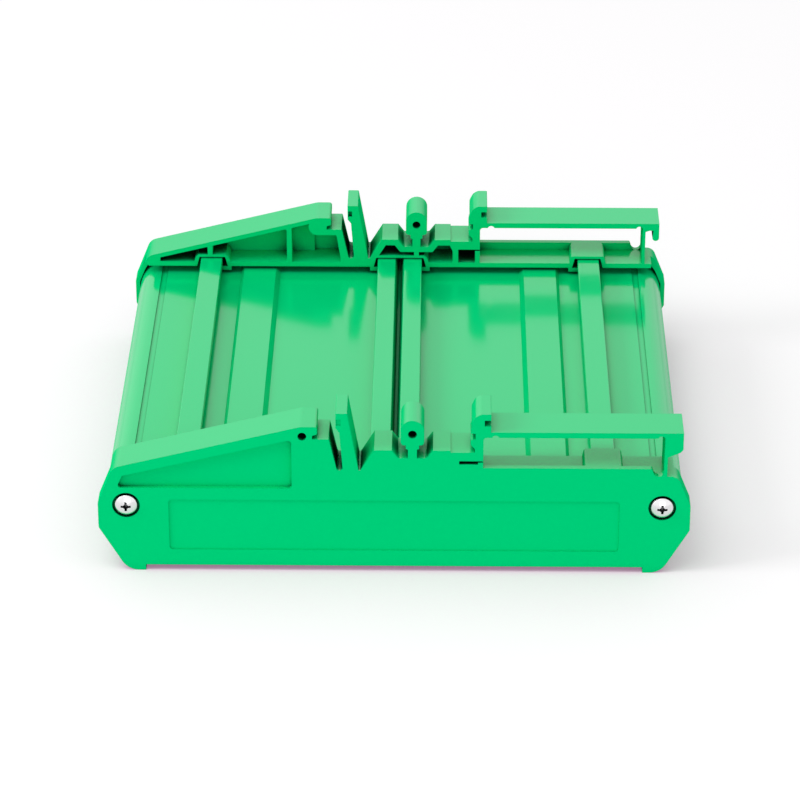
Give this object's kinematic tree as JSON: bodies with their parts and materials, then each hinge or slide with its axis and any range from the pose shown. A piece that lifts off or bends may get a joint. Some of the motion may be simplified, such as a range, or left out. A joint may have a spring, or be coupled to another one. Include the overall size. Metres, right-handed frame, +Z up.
{
  "type": "circuit board mounting bracket",
  "caption": "Plastic carrier that clips a circuit board onto a mounting rail: an extruded board channel closed by moulded end plates with a wedge foot, spring finger and sprung latch.",
  "frame": {"origin": "centre of the bounding box in plan, on the plane of the pads it stands on in the picture", "axes": "+Z up with the rail clips on top as pictured, +X from the wedge feet to the release arms, +Y along the channel and the rail, away from the camera"},
  "size_m": [0.1288, 0.1178, 0.0389],
  "materials": {
    "plate_plastic": "satin moulded green with a very fine grain",
    "channel_plastic": "glossy extruded green",
    "screw_metal": "bright plated"
  },
  "bodies": {
    "root": {"board_channel": "channel_plastic", "front_end_plate": "plate_plastic", "rear_end_plate": "plate_plastic", "screw_front_left": "screw_metal", "screw_front_right": "screw_metal", "screw_rear_left": "screw_metal", "screw_rear_right": "screw_metal"}
  },
  "joints": []
}
